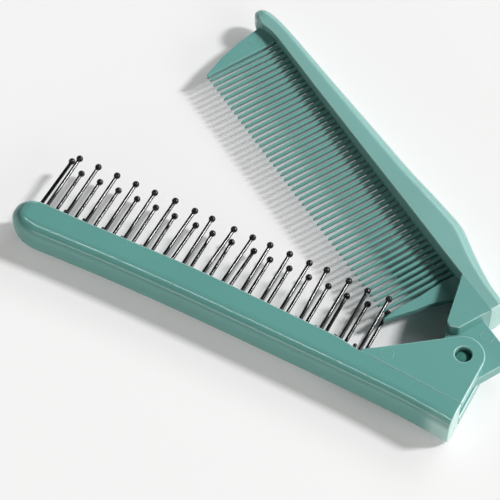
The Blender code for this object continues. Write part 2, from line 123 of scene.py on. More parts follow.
# %% Panels
def panel(name, direction, width, height, power, colour=(1.0, 1.0, 1.0), distance=1.3):
    """A rectangular lamp at a distance in a direction, which faces the object."""
    towards = Vector(direction).normalized()
    made = bpy.data.objects.new(name, bpy.data.lights.new(name, "AREA"))
    scene.collection.objects.link(made)
    made.data.shape = "RECTANGLE"
    made.data.size = width
    made.data.size_y = height
    made.data.energy = power
    made.data.color = colour
    made.location = towards * distance
    made.rotation_mode = "QUATERNION"
    made.rotation_quaternion = towards.to_track_quat("Z", "Y")
    return made


warm_right, warm_front = (1.0, 0.92, 0.86), (1.0, 0.90, 0.85)
panel("side_fill", (1.0, -0.28, 0.45), width=0.9, height=0.5, power=5.5, colour=warm_right)
panel("front_fill", (0.1, -1.0, 0.18), width=1.4, height=0.3, power=5.2, colour=warm_front)
panel("left_fill", (-1.0, 0.2, 0.5), width=1.0, height=0.4, power=1.2)
panel("back_fill", (0.35, 1.0, 0.8), width=1.0, height=0.4, power=5.5)
gleams = [
    panel("back_gleam", (-0.05, 1.0, 0.30), width=1.6, height=0.55, power=5.0),
    panel("right_gleam", (0.85, 0.46, 0.25), width=0.9, height=0.35, power=6.0),
    panel("ridge_gleam", (-0.25, -0.40, 0.88), width=0.9, height=0.05, power=2.8, distance=1.0),
]
for gleam in gleams:
    gleam.visible_diffuse = False
print("panels seen only in the gloss:", [gleam.name for gleam in gleams])

# %% The dim room
room_light = 0.05
world = bpy.data.worlds.new("dim_room")
scene.world = world
world.use_nodes = True
background = world.node_tree.nodes["Background"]
background.inputs["Color"].default_value = (1.0, 1.0, 1.0, 1.0)
background.inputs["Strength"].default_value = room_light
print("room light", room_light)

# %% [markdown]
# ## The table
# The brush lies on a matt white sheet. Lamps bright enough to whiten it would bleach the plastic, so
# the sheet has a little white of its own, which is seen straight on and in reflections and gives no
# light. It also lightens the shadows on the sheet. It fades out round the hinge, where the photograph
# shows a dark pocket between the arms, so the sheet is left darker there: painted shade in the pocket.
# A shader is a tree of nodes. One helper makes each node with its settings, its values and its links,
# so that a finish reads from its inputs to its result.

# %% One shader node
def add_node(tree, kind, inputs, **settings):
    """A new node with its settings. An input takes a value, or a link where it is given an output."""
    made = tree.nodes.new(kind)
    for name, value in settings.items():
        setattr(made, name, value)
    for name, value in inputs.items():
        if isinstance(value, bpy.types.NodeSocket):
            tree.links.new(value, made.inputs[name])
        else:
            made.inputs[name].default_value = value
    return made


# %% The sheet's finish
def white_sheet(pocket_centre):
    """Matt white mixed with a white of its own, by a share that grows with the distance from the
    pocket's centre and counts for camera, glossy and transmission rays alone. Where the share is small,
    round the pocket, the sheet is darker: painted shade."""
    own_white, own_share = 0.93, 0.25
    # Inside the first distance the sheet has none of its own white, so the pocket stays darker: painted
    # shade.
    pocket_shade_start, pocket_shade_end = 12 * MM, 30 * MM
    finish = bpy.data.materials.new("table_white")
    finish.use_nodes = True
    tree = finish.node_tree
    paper = tree.nodes["Principled BSDF"]
    paper.inputs["Base Color"].default_value = (0.865, 0.865, 0.87, 1.0)
    paper.inputs["Roughness"].default_value = 0.9
    paper.inputs["Specular IOR Level"].default_value = 0.0
    seen_white = add_node(tree, "ShaderNodeEmission", {"Strength": own_white})
    place_on = add_node(tree, "ShaderNodeTexCoord", {})
    from_pocket = add_node(tree, "ShaderNodeVectorMath", {0: place_on.outputs["Object"], 1: pocket_centre},
                           operation="DISTANCE")
    away = add_node(tree, "ShaderNodeMapRange", {
        "Value": from_pocket.outputs["Value"], "From Min": pocket_shade_start, "From Max": pocket_shade_end,
        "To Max": own_share}, interpolation_type="SMOOTHSTEP")
    path = add_node(tree, "ShaderNodeLightPath", {})
    seen = path.outputs["Is Camera Ray"]
    for way in ("Is Glossy Ray", "Is Transmission Ray"):
        either = add_node(tree, "ShaderNodeMath", {0: seen, 1: path.outputs[way]}, operation="MAXIMUM")
        seen = either.outputs["Value"]
    share = add_node(tree, "ShaderNodeMath", {0: away.outputs["Result"], 1: seen}, operation="MULTIPLY")
    both = add_node(tree, "ShaderNodeMixShader", {
        0: share.outputs["Value"], 1: paper.outputs["BSDF"], 2: seen_white.outputs["Emission"]})
    tree.links.new(both.outputs["Shader"], tree.nodes["Material Output"].inputs["Surface"])
    return finish


# %% Table
table_size = 3.0
table_drop = 0.2 * MM
half_table = table_size / 2
table_corners = [(-half_table, -half_table, 0), (half_table, -half_table, 0),
                 (half_table, half_table, 0), (-half_table, half_table, 0)]
pocket_centre = (hinge_x - 16 * MM, hinge_y + 8 * MM, 0.0)
table_mesh = bpy.data.meshes.new("table")
table_mesh.from_pydata(table_corners, [], [(0, 1, 2, 3)])
table_mesh.materials.append(white_sheet(pocket_centre))
table = bpy.data.objects.new("table", table_mesh)
scene.collection.objects.link(table)
table.location = (0, 0, -table_drop)
print("table", table_size, "m wide")

# %% [markdown]
# ## Two arms, one way to measure
# Both arms are drawn alike, so each point is given by three numbers: how far along the arm it lies
# from the hinge axis, how deep it lies towards the arm's rounded back, and how high above the table.
# Pins and teeth point to negative depths. An arm only adds its own two directions on the table, and
# from there on brush and comb can share every function.

# %% Sizes that both arms share
middle = thickness / 2
wall = 0.8 * MM
fillet_radius = 3.0 * MM
lip_radius = 0.22 * MM
nose_lip = 7.5 * MM
back_nose, rim_nose, height_nose = 7.8 * MM, 4.8 * MM, 4.5 * MM
nose_closing = 0.992
end_wall = 1.6 * MM
pocket_margin = 5.5 * MM
clearance = 0.3 * MM
fold = math.radians(-hinge["range_deg"][0])
print("half open at", round(math.degrees(fold), 2), "degrees, middle plane at", round(middle, 5))


# %% A smooth curve through measured rows
def through(table, column, position):
    """Value at a position on a curve through the rows of a table. Between two rows it is the cubic
    whose slope at each row is that of the straight line between the row's two neighbours."""
    rows = np.asarray(table)
    x, y = rows[:, 0], rows[:, column]
    k = np.clip(np.searchsorted(x, position, side="right") - 1, 0, len(x) - 2)
    before, after = np.maximum(k - 1, 0), np.minimum(k + 2, len(x) - 1)
    span = x[k + 1] - x[k]
    t = (position - x[k]) / span
    leave = (y[k + 1] - y[before]) / (x[k + 1] - x[before]) * span
    arrive = (y[after] - y[k]) / (x[after] - x[k]) * span
    return ((2 * t**3 - 3 * t**2 + 1) * y[k] + (t**3 - 2 * t**2 + t) * leave
            + (3 * t**2 - 2 * t**3) * y[k + 1] + (t**3 - t**2) * arrive)


# %% One arm
class Arm:
    """Directions of an arm on the table, and the two curves of its bar: its back and its rim."""

    def __init__(self, angle, mirrored, length, depth, nose_depth, shares,
                 thinning_start=0.0, tip_thinning=0.0):
        """Along turns by the angle from -X towards +Y, and deep stands square to it, turned over
        where the arm is mirrored."""
        self.along = np.array([-math.cos(angle), math.sin(angle), 0.0])
        across = np.array([math.sin(angle), math.cos(angle), 0.0])
        self.deep = -across if mirrored else across
        self.length, self.depth, self.nose_depth = length, depth, nose_depth
        self.shares = shares
        self.thinning_start, self.tip_thinning = thinning_start, tip_thinning

    def place(self, along, depth, height):
        """Hinge point plus along times one direction, depth times the other, height upwards."""
        along, depth, height = np.broadcast_arrays(along, depth, height)
        spot = along[..., None] * self.along + depth[..., None] * self.deep
        spot = spot + height[..., None] * np.array([0.0, 0.0, 1.0])
        return spot + np.array([hinge_x, hinge_y, 0.0])

    def left(self, along, nose):
        """Share of the full size left at a place: 1 along the bar, then a quarter of an ellipse,
        which stops just before it closes so that the last face keeps an area."""
        into = np.clip((along - (self.length - nose)) / nose, 0.0, 1.0)
        return np.sqrt(1.0 - (nose_closing * into) ** 2)

    def edge(self, column, along, nose):
        """Depth of the back (column 1) or the rim (column 2), closing on the nose's own depth."""
        full = self.depth * through(self.shares, column, along / self.length)
        return self.nose_depth + (full - self.nose_depth) * self.left(along, nose)

    def back(self, along):
        """Depth of the rounded back at a place along the arm."""
        return self.edge(1, along, back_nose)

    def rim(self, along):
        """Depth of the rim, where the bar is open, at a place along the arm."""
        return self.edge(2, along, rim_nose)

    def half(self, along):
        """Half the bar's thickness, which shrinks evenly towards the tip and closes in the nose."""
        share = np.maximum(along - self.thinning_start, 0.0) / (self.length - self.thinning_start)
        return (middle - self.tip_thinning / 2 * share) * self.left(along, height_nose)


# %% [markdown]
# ## The outlines of the arms
# Neither bar is straight. The brush swells gently towards its nose, and the comb has a knuckle near
# the hinge and grows slimmer and thinner from there to its tip. Each row below is a station: its
# share of the arm's length, then the depth of the back and of the rim as shares of the arm's depth.

# %% The brush arm and the comb arm
brush_shares = (
    (-0.045, 0.994, 0.661), (0.065, 0.943, 0.622), (0.191, 0.931, 0.569), (0.240, 0.928, 0.523),
    (0.330, 0.925, 0.510), (0.575, 0.925, 0.489), (0.740, 0.946, 0.520), (0.855, 0.977, 0.546),
    (0.927, 1.000, 0.552), (1.000, 1.000, 0.552))
comb_shares = (
    (0.056, 0.813, 0.602), (0.102, 0.818, 0.598), (0.134, 0.841, 0.594), (0.195, 0.917, 0.590),
    (0.262, 1.000, 0.589), (0.310, 0.992, 0.589), (0.436, 0.936, 0.589), (0.580, 0.904, 0.594),
    (0.730, 0.862, 0.600), (0.886, 0.828, 0.611), (0.925, 0.815, 0.600), (0.960, 0.808, 0.552),
    (1.000, 0.803, 0.545))
brush = Arm(angle=0.0, mirrored=True, length=107.8 * MM, depth=17.4 * MM, nose_depth=12.6 * MM,
            shares=brush_shares)
comb = Arm(angle=fold, mirrored=False, length=106.8 * MM, depth=19.2 * MM, nose_depth=13.0 * MM,
           shares=comb_shares, thinning_start=40.0 * MM, tip_thinning=4.0 * MM)
print("brush tip", brush.place(brush.length, brush.nose_depth, middle).round(4))
print("comb tip", comb.place(comb.length, comb.nose_depth, middle).round(4))

# %% [markdown]
# ## From grids to pieces
# Every new surface is a grid of points: rows go along the piece and columns go round it. A grid is
# turned into faces by joining each point to its neighbours, which numpy does for all points at once.
# A piece may hold several such closed shells, as one moulding has a bar, teeth and a tongue.


# %% Faces of a grid
def shell(points, ring=False, edge=None):
    """Points and faces of a grid whose columns close on themselves. A ring closes its rows as well,
    and any other shell is closed by one flat face at its first and one at its last row. Edge gives
    each point its share of the finish's paler colour, a painted highlight, 0 on plain faces and about 1
    along edges."""
    rows, columns = points.shape[:2]
    index = np.arange(rows * columns).reshape(rows, columns)
    here, there = (index, np.roll(index, -1, 0)) if ring else (index[:-1], index[1:])
    quads = np.stack([here, np.roll(here, -1, 1), np.roll(there, -1, 1), there], -1).reshape(-1, 4)
    caps = [] if ring else [index[0][::-1], index[-1]]
    edge = np.zeros((rows, columns)) if edge is None else np.broadcast_to(edge, (rows, columns))
    return points.reshape(-1, 3), quads, caps, edge.ravel()


def repeated(points):
    """Shells for a stack of equal grids (copies, rows, columns, 3), with both ends closed."""
    copies, rows, columns = points.shape[:3]
    index = np.arange(copies * rows * columns).reshape(copies, rows, columns)
    here, there = index[:, :-1], index[:, 1:]
    sides = [here, np.roll(here, -1, 2), np.roll(there, -1, 2), there]
    quads = np.stack(sides, -1).reshape(-1, 4)
    caps = list(index[:, 0, ::-1]) + list(index[:, -1])
    return points.reshape(-1, 3), quads, caps, np.zeros(index.size)


# %% One object from its shells
crease_angle = math.radians(40.0)


def piece(name, shells, finish, body, slot, *replaced):
    """Joins shells into one mesh in real place, turns all faces outwards, hangs it under its body's empty
    and hides the parts it replaces.
    """
    points, loops, sizes, edges, count = [], [], [], [], 0
    for spots, quads, caps, edge in shells:
        points.append(spots)
        edges.append(edge)
        loops += [quads.ravel() + count] + [cap + count for cap in caps]
        sizes += [np.full(len(quads), 4)] + [np.array([len(cap)]) for cap in caps]
        count += len(spots)
    points, loops, sizes = np.concatenate(points), np.concatenate(loops), np.concatenate(sizes)
    mesh = bpy.data.meshes.new(name)
    mesh.vertices.add(len(points))
    mesh.vertices.foreach_set("co", points.ravel())
    mesh.loops.add(len(loops))
    mesh.loops.foreach_set("vertex_index", loops)
    mesh.polygons.add(len(sizes))
    mesh.polygons.foreach_set("loop_start", np.cumsum(sizes) - sizes)
    mesh.update(calc_edges=True)
    # The edge share travels with the mesh, for the finish's painted highlights.
    mesh.attributes.new("edge", "FLOAT", "POINT").data.foreach_set("value", np.concatenate(edges))
    mesh.validate()
    outwards = bmesh.new()
    outwards.from_mesh(mesh)
    bmesh.ops.recalc_face_normals(outwards, faces=outwards.faces)
    outwards.to_mesh(mesh)
    outwards.free()
    mesh.polygons.foreach_set("use_smooth", np.ones(len(sizes), dtype=bool))
    mesh.set_sharp_from_angle(angle=crease_angle)
    mesh.materials.append(finish)
    made = bpy.data.objects.new(name, mesh)
    scene.collection.objects.link(made)
    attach(made, body)
    if replaced:
        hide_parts(*replaced)
    return made


# %% [markdown]
# ## Round corners and soft edges
# Moulded plastic has no sharp corner: the mould rounds them all, and each round edge catches a thin
# line of light. A Bevel modifier could cut them, but what it gives depends on how the faces were cut.
# Here an outline's corners are rounded first, and a plate's edges are rings that step inwards while
# they rise, so that every edge is an even quarter of a circle.

# %% Rounded corners
def rounded(corners, radii, steps=4):
    """Outlines (..., corners, 2) whose corners become arcs that touch both sides. The arc's centre
    lies on the corner's halving line at radius / sin(half the corner's angle). One more point on
    each side, just beyond the arc, keeps the flat sides flat when the faces are shaded smooth."""
    corners = np.asarray(corners, dtype=float)
    to_last = np.roll(corners, 1, -2) - corners
    to_next = np.roll(corners, -1, -2) - corners
    size_last = np.linalg.norm(to_last, axis=-1, keepdims=True)
    size_next = np.linalg.norm(to_next, axis=-1, keepdims=True)
    a, b = to_last / size_last, to_next / size_next
    angle = np.arccos(np.clip((a * b).sum(-1, keepdims=True), -1.0, 0.99999))
    angle = np.minimum(angle, math.pi - 1e-4)
    room = 0.49 * np.minimum(size_last, size_next) * np.tan(angle / 2)
    radius = np.minimum(np.broadcast_to(radii, corners.shape[:-1])[..., None], room)
    halving = a + b
    halving = halving / np.maximum(np.linalg.norm(halving, axis=-1, keepdims=True), 1e-9)
    centre = corners + halving * radius / np.sin(angle / 2)
    start = corners + a * radius / np.tan(angle / 2) - centre
    stop = corners + b * radius / np.tan(angle / 2) - centre
    sweep = (math.pi - angle)[..., None, :]
    t = np.linspace(0.0, 1.0, steps + 1)[:, None]
    turned = np.sin((1 - t) * sweep) * start[..., None, :] + np.sin(t * sweep) * stop[..., None, :]
    arcs = centre[..., None, :] + turned / np.sin(sweep)
    flat = np.minimum(0.05 * MM, 0.01 * np.minimum(size_last, size_next))
    before = arcs[..., :1, :] + (a * flat)[..., None, :]
    after = arcs[..., -1:, :] + (b * flat)[..., None, :]
    arcs = np.concatenate([before, arcs, after], axis=-2)
    return arcs.reshape(*corners.shape[:-2], -1, 2)


# %% A flat plate with soft edges
def dense(outline, step=0.6 * MM):
    """The same outline with more points: a side of length L is cut into ceil(L / step) equal parts."""
    side = np.roll(outline, -1, 0) - outline
    parts = np.maximum(np.ceil(np.linalg.norm(side, axis=1) / step), 1).astype(int)
    owner = np.repeat(np.arange(len(outline)), parts)
    number = np.arange(len(owner)) - np.repeat(np.cumsum(parts) - parts, parts)
    return outline[owner] + side[owner] * (number / parts[owner])[:, None]


def plate(arm, outline, bottom, top, edge, hole=0.0, crisp=None, painted_highlight=1.0):
    """Rings round a plate: the outline moves inwards by edge * (1 - cos) while it rises by
    edge * sin at both rims, and one more ring beyond each end of the arc keeps the flat faces flat.
    A hole joins the last ring to the first through a round wall. Crisp maps outline points to
    shares of the edge radius, for sides that stay nearly sharp. The painted highlight on the rounded edge
    is full at the side and falls to less than half of it at the face."""
    steps, face_highlight_share = 4, 0.4
    outline = dense(np.asarray(outline))
    share = np.ones(len(outline)) if crisp is None else crisp(outline)
    tangent = np.roll(outline, -1, 0) - np.roll(outline, 1, 0)
    tangent /= np.maximum(np.linalg.norm(tangent, axis=1, keepdims=True), 1e-12)
    x, y = outline.T
    turn = np.sign((x * np.roll(y, -1) - np.roll(x, -1) * y).sum())
    inwards = turn * np.stack([-tangent[:, 1], tangent[:, 0]], 1)
    t = np.linspace(0.0, math.pi / 2, steps + 1)
    beyond = edge + 0.1 * MM
    up = np.concatenate([[beyond], edge * (1 - np.sin(t)), [0.0]])
    inwards_by = np.concatenate([[0.0], edge * (1 - np.cos(t)), [beyond]])
    # Share of the paler colour on each ring: a painted highlight on the rounded edge, none on the flat
    # faces.
    pale = np.concatenate([[0.0], np.linspace(1.0, face_highlight_share, steps + 1) * painted_highlight, [0.0]])
    pale = np.concatenate([pale[::-1], pale])
    rise = np.concatenate([bottom + up[::-1, None] * share, top - up[:, None] * share])
    shift = np.concatenate([inwards_by[::-1], inwards_by])
    rings = outline[None] + inwards[None] * (shift[:, None] * share)[..., None]
    if hole:
        away = outline / np.linalg.norm(outline, axis=1, keepdims=True)
        round_wall = away[None] * (hole + shift[::-1, None, None])
        rings = np.concatenate([rings, round_wall])
        whole = np.concatenate([bottom + up[::-1], top - up])
        rise = np.concatenate([rise, np.repeat(whole[::-1, None], len(outline), 1)])
        pale = np.concatenate([pale, pale])
    spots = arm.place(rings[..., 0], rings[..., 1], rise)
    return shell(spots, ring=bool(hole), edge=pale[:, None])


# %% [markdown]
# ## Teal plastic
# Both arms are moulded in one teal plastic with a clean gloss. The mould leaves a very fine orange
# peel, faint polishing lines along the arm, and a colour that is never quite even where the melt
# flowed. All of it is far finer than a pixel of the photograph, so it only softens the highlights.
# The plastic lets a little light in, and its rounded edges and the bars' ends catch bright light, so they
# look paler than the flat faces.
# Light that wanders inside is slow to render and lost in an export, so this light is painted on as a paler
# colour, laid on by the
# edge share that each point carries: painted highlights along the edges and lips, and painted reflection
# on the bars' ends.
# The comb's inner moulding is a shade paler too, and the comb's back is paler still: a painted sheen of
# the light its top reflects.


# %% A moulded plastic
def moulded(name, colour, roughness, peel, along_angle, ior=1.46, drift=0.03):
    """Noise on Object coordinates: slow for the colour, long and thin along the arm for the
    roughness, and fine for the bump. The edge share mixes the paler colour in, as painted highlights and
    painted reflection."""
    # The paler colour is painted light: highlights on edges and lips, reflection on the bars' ends.
    painted_light_colour, painted_light_strength = (0.58, 0.80, 0.75, 1.0), 0.38
    flow_scale, polish_scale, grain_scale = 55.0, (60.0, 2200.0, 2200.0), 2600.0
    grain_height = 0.02 * MM
    material = bpy.data.materials.new(name)
    material.use_nodes = True
    tree = material.node_tree
    surface = tree.nodes["Principled BSDF"]
    surface.inputs["IOR"].default_value = ior
    place_on = add_node(tree, "ShaderNodeTexCoord", {}).outputs["Object"]

    flow = add_node(tree, "ShaderNodeTexNoise", {
        "Vector": place_on, "Scale": flow_scale, "Detail": 3.0})
    tint = add_node(tree, "ShaderNodeValToRGB", {"Fac": flow.outputs["Fac"]})
    ends = ((0.3, 1.0 - drift), (0.7, 1.0 + drift))
    for stop, (position, brightness) in zip(tint.color_ramp.elements, ends):
        stop.position = position
        stop.color = [channel * brightness for channel in colour] + [1.0]
    # Painted highlight: the edge share on each point lays the paler colour over the base colour.
    at_edge = add_node(tree, "ShaderNodeAttribute", {}, attribute_name="edge")
    thin = add_node(tree, "ShaderNodeMath", {
        0: at_edge.outputs["Fac"], 1: painted_light_strength}, operation="MULTIPLY")
    paler = add_node(tree, "ShaderNodeMix", {
        "Factor": thin.outputs["Value"], "A": tint.outputs["Color"], "B": painted_light_colour}, data_type="RGBA")
    tree.links.new(paler.outputs["Result"], surface.inputs["Base Color"])

    turned = add_node(tree, "ShaderNodeMapping", {
        "Vector": place_on, "Rotation": (0.0, 0.0, along_angle), "Scale": polish_scale})
    polish = add_node(tree, "ShaderNodeTexNoise", {
        "Vector": turned.outputs["Vector"], "Scale": 1.0, "Detail": 2.0})
    gloss = add_node(tree, "ShaderNodeMapRange", {
        "Value": polish.outputs["Fac"], "From Min": 0.3, "From Max": 0.7,
        "To Min": roughness * 0.8, "To Max": roughness * 1.3})
    tree.links.new(gloss.outputs["Result"], surface.inputs["Roughness"])

    grain = add_node(tree, "ShaderNodeTexNoise", {
        "Vector": place_on, "Scale": grain_scale, "Detail": 2.0})
    bump = add_node(tree, "ShaderNodeBump", {
        "Height": grain.outputs["Fac"], "Strength": peel, "Distance": grain_height})
    tree.links.new(bump.outputs["Normal"], surface.inputs["Normal"])
    print("plastic", name, "colour", colour)
    return material


teal_brush = moulded(
    "teal_brush", (0.118, 0.327, 0.298), roughness=0.16, peel=0.25, along_angle=0.0)
teal_ears = moulded(
    "teal_ears", (0.128, 0.340, 0.313), roughness=0.16, peel=0.25, along_angle=0.0)
teal_comb = moulded(
    "teal_comb", (0.138, 0.340, 0.314), roughness=0.18, peel=0.25, along_angle=fold)
# The comb's back is a paler copy of the comb's teal: a painted sheen for the light its top reflects.
teal_comb_back = moulded(
    "teal_comb_back", (0.195, 0.405, 0.375), roughness=0.18, peel=0.25, along_angle=fold)
# The hinge pin is the same teal made darker: painted shade of the deep hole it sits in.
teal_pin = moulded(
    "teal_pin", (0.060, 0.215, 0.185), roughness=0.14, peel=0.15, along_angle=0.0)

# %% [markdown]
# ## Black pins
# The pins are glossy black nylon. Their mirror-like skin draws one thin white line along each shank
# and one spark on each ball. A low index of refraction keeps the rest of the skin deep black.

# %% Black nylon
black_nylon = moulded(
    "black_nylon", (0.004, 0.004, 0.0045), roughness=0.09, peel=0.10, along_angle=math.pi / 2,
    ior=1.45, drift=0.10)

# %% [markdown]
# ## The hollow backs
# Each arm's outer bar is a channel: flat faces, a back rounded with a 3 mm fillet, and an open front
# behind a thin lip. It could be extruded and bevelled, but its depth changes all along the arm and
# it closes in a round nose. So one closed section with eight rounded corners is carried along
# the arm, and at each station the corners move to that station's rim, back and height.


# %% Stations along a bar
round_end = 0.3 * MM
hair = 0.02 * MM
arc_steps = 8
corner_points = arc_steps + 3


def eased(share):
    """A share that starts and stops softly: 3 s^2 - 2 s^3."""
    return share ** 2 * (3 - 2 * share)


def stations(arm, start, pocket):
    """Places along an arm, close together in the rounded end and the nose and even between them,
    with steps a hair long where the pocket begins and ends. With them comes how far each section
    is drawn in to round the end: round_end * (1 - sin) at a place round_end * (1 - cos)."""
    turn = np.linspace(0.0, math.pi / 2, 6)
    first = start + round_end * (1 - np.cos(turn))
    nose_start = arm.length - back_nose
    straight = np.linspace(first[-1], nose_start, 90)[1:]
    nose = nose_start + back_nose * np.sin(np.linspace(0.0, math.pi / 2, 28))[1:]
    steps = [pocket[0] - hair, pocket[0], pocket[1], pocket[1] + hair]
    along = np.sort(np.concatenate([first, straight, nose, steps]))
    return along, np.interp(along, first, round_end * (1 - np.sin(turn)))


# %% Painted highlights and reflection of a bar
# The end face takes more painted highlight, and a painted reflection covers the back near the bar's end
# and fades out along it.
end_face_highlight = 1.4
end_reflection_length, end_reflection_fade = 7.0 * MM, 3.5 * MM


def bar_painted_light(along, start, in_nose, end_reflection_share):
    """Share of the paler colour, painted light, at each point of each section: a painted highlight of 1 on
    the outer lips, half of it on the inner ones and more on the end face, and a painted reflection at the
    bar's end, which grows with the square of the way round the upper fillet, covers the back and fades out
    along the arm."""
    on_arc = np.concatenate([[0.0], np.ones(arc_steps + 1), [0.0]])
    on_lip = np.array([1.0, 0.0, 0.0, 1.0, 0.5, 0.0, 0.0, 0.5])
    lips = (on_lip[:, None] * on_arc).ravel() * (1.0 - in_nose)[:, None]
    end_face = end_face_highlight * (along < start + round_end - hair)[:, None]
    on_back = np.concatenate([
        np.zeros(corner_points), np.linspace(0.0, 1.0, corner_points) ** 2,
        np.ones(corner_points), np.zeros(5 * corner_points)])
    end_reflection = end_reflection_share * eased(np.clip((start + end_reflection_length - along) / end_reflection_fade, 0.0, 1.0))
    return np.maximum(np.maximum(lips, end_face), on_back * end_reflection[:, None])


# %% A channel carried along an arm
def channel(arm, start, recess_depth, seam_end, end_reflection_share):
    """Sections at every station. Their corners are rim, back, back, rim and the four corners of the
    channel's inside, whose depth grows from nothing between the end wall and the nose. Each corner
    has its own radius, held under a share of the height and depth that are left where it is. The
    lips are nearly sharp up to seam_end, where the ears or the gusset meet them."""
    closing, inner_radius, seam_fade = 0.6 * MM, 0.15 * MM, 3.0 * MM
    slack = 1e-9
    pocket = (start + end_wall, arm.length - pocket_margin)
    along, shrink = stations(arm, start, pocket)
    half = arm.half(along) - shrink
    rim = arm.rim(along) + shrink
    back = arm.back(along) - shrink
    low, high = middle - half, middle + half

    inside = (along >= pocket[0] - slack) & (along <= pocket[1] + slack)
    floor = np.minimum(rim + np.where(inside, recess_depth, hair), (rim + back) / 2)
    closed = np.clip((along - pocket[1] - hair) / closing, 0.0, 1.0)
    inner = np.minimum(wall, half * 0.5)
    inner = inner + (half * 0.96 - inner) * closed
    depths = [rim, back, back, rim, rim, floor, floor, rim]
    heights = [high, high, low, low, low + inner, low + inner, high - inner, high - inner]
    corners = np.stack([np.stack(depths, 1), np.stack(heights, 1)], -1)

    fillet = np.minimum(np.minimum(fillet_radius, half * 0.9), (back - rim) * 0.6)
    full_lip = np.minimum(half * 0.9, (back - rim) * 0.35)
    plain_lip = lip_radius * np.interp(along, [seam_end, seam_end + seam_fade], [0.2, 1.0])
    in_nose = np.clip((along - (arm.length - nose_lip)) / nose_lip, 0.0, 1.0)
    lip = np.minimum(plain_lip + (full_lip - plain_lip) * eased(in_nose), full_lip)
    inner_lip = np.full_like(rim, inner_radius)
    radii = np.stack([lip, fillet, fillet, lip] + [inner_lip] * 4, 1)
    sections = rounded(corners, radii, steps=arc_steps)
    print("channel:", sections.shape[0], "sections of", sections.shape[1], "points")
    spots = arm.place(along[:, None], sections[..., 0], sections[..., 1])
    return shell(spots, edge=bar_painted_light(along, start, in_nose, end_reflection_share))


# %% Brush back
brush_start = -4.9 * MM
# The channel's last share sets the painted reflection at the bar's end.
brush_channel = channel(brush, brush_start, recess_depth=4.9 * MM, seam_end=19.0 * MM, end_reflection_share=1.3)
piece("brush_back_skin", [brush_channel], teal_brush, "brush_arm", "teal_plastic", "brush_back")

# %% Comb back
comb_start = 6.0 * MM
# The channel's last share sets the painted reflection at the bar's end.
comb_channel = channel(comb, comb_start, recess_depth=1.1 * MM, seam_end=16.0 * MM, end_reflection_share=0.8)
piece("comb_back_skin", [comb_channel], teal_comb_back, "comb_arm", "teal_plastic", "comb_back")

# %% [markdown]
# ## Bed and ears
# The inner piece of the brush arm holds the pins in a long bed and ends in two flat ears, above and
# below the comb's tongue. An ear is a plate whose outline runs along the seam, slopes down from the
# first pin and turns round the hinge. Its edges are softened, because that thin bright line round
# each ear is what makes it read as moulded plastic. Rings that follow the outline give this
# directly, where a bevel would depend on how the plate was cut.

# %% Ear outline
ear_length = 20.2 * MM
ear_radius = 4.9 * MM
ear_centre_depth = 0.3 * MM
ear_thickness = 3.1 * MM
ear_step = 0.6 * MM
hole_radius = 1.9 * MM
seam_gap = 0.03 * MM


def tangent_corner(point, radius, centre_depth, end):
    """Where the line from a point that touches a circle near the hinge meets the straight end. The
    line's normal is turned from the point's own direction by acos(radius / distance)."""
    px, py = point[0], point[1] - centre_depth
    towards = math.atan2(py, px) - math.acos(radius / math.hypot(px, py))
    nx, ny = math.cos(towards), math.sin(towards)
    return (end, (radius - nx * end) / ny + centre_depth)


ear_foot = (ear_length, brush.rim(ear_length) - ear_step)
ear_corner = tangent_corner(ear_foot, ear_radius, ear_centre_depth, brush_start)
seam_places = np.linspace(brush_start, ear_length, 7)
seam = np.stack([seam_places, brush.rim(seam_places) - seam_gap], 1)
ear_corners = np.concatenate([seam, [ear_foot, ear_corner]])
ear_radii = np.array([0.50] + [0.01] * 5 + [0.1, 0.50, 4.9]) * MM
ear_outline = rounded(ear_corners, ear_radii, steps=14)


def ear_crisp(outline):
    """The ear's thin point keeps a crisp edge: the share grows over 3 mm from the point."""
    return np.clip(np.linalg.norm(outline - np.array(ear_foot), axis=1) / (3.0 * MM), 0.06, 1.0)


print("ear outline:", len(ear_outline), "points")

# %% [markdown]
# ## Ejector marks
# Round pins push the moulding out of its mould and leave faint rings on its flat faces. They show on
# the upper ear, on the tongue and on the comb's far guard. A bump could draw them, but it would need
# a pattern of its own on each piece. A real ring, let almost wholly into the face, is simpler.


# %% One ejector mark
def ejector_mark(arm, along, depth, radius, height, painted_highlight):
    """A ring round a spot on a flat face: a circle of the given radius carries a thin round
    section, whose centre lies a little below the face, so that only a hair line stands out. The ring
    carries the given share of the paler colour, a faint painted highlight."""
    line_radius, sink = 0.10 * MM, 0.04 * MM
    turn = np.linspace(0.0, 2 * math.pi, 48, endpoint=False)[:, None]
    round_section = np.linspace(0.0, 2 * math.pi, 8, endpoint=False)[None]
    reach = radius + line_radius * np.cos(round_section)
    rise = height - sink + line_radius * np.sin(round_section)
    spots = arm.place(along + reach * np.cos(turn), depth + reach * np.sin(turn), rise)
    return shell(spots, ring=True, edge=painted_highlight)


# %% Bed, ears and their root
first_pin = 21.0 * MM
bed_start = first_pin - 1.35 * MM
bed_end = brush.length - pocket_margin - clearance
bed_front, bed_back = 9.9 * MM, 12.2 * MM
bed_box = [(bed_start, bed_front), (bed_end, bed_front), (bed_end, bed_back), (bed_start, bed_back)]
root_start = brush_start + end_wall + clearance
root_back = 13.5 * MM
root_box = [(root_start, 11.0 * MM), (ear_length, 10.2 * MM),
            (ear_length, root_back), (root_start, root_back)]
inside = wall + clearance
inner_shells = []
for bottom, top in ((thickness - ear_thickness, thickness), (0.0, ear_thickness)):
    inner_shells.append(plate(
        brush, ear_outline, bottom, top, edge=0.3 * MM, hole=hole_radius, crisp=ear_crisp))
for box in (bed_box, root_box):
    inner_shells.append(plate(
        brush, rounded(box, 0.2 * MM), inside, thickness - inside, edge=0.15 * MM))
inner_shells.append(ejector_mark(
    brush, along=14.9 * MM, depth=7.9 * MM, radius=1.5 * MM, height=thickness, painted_highlight=0.15))
print("bed from", round(bed_start / MM, 2), "to", round(bed_end / MM, 2), "mm along the brush arm")

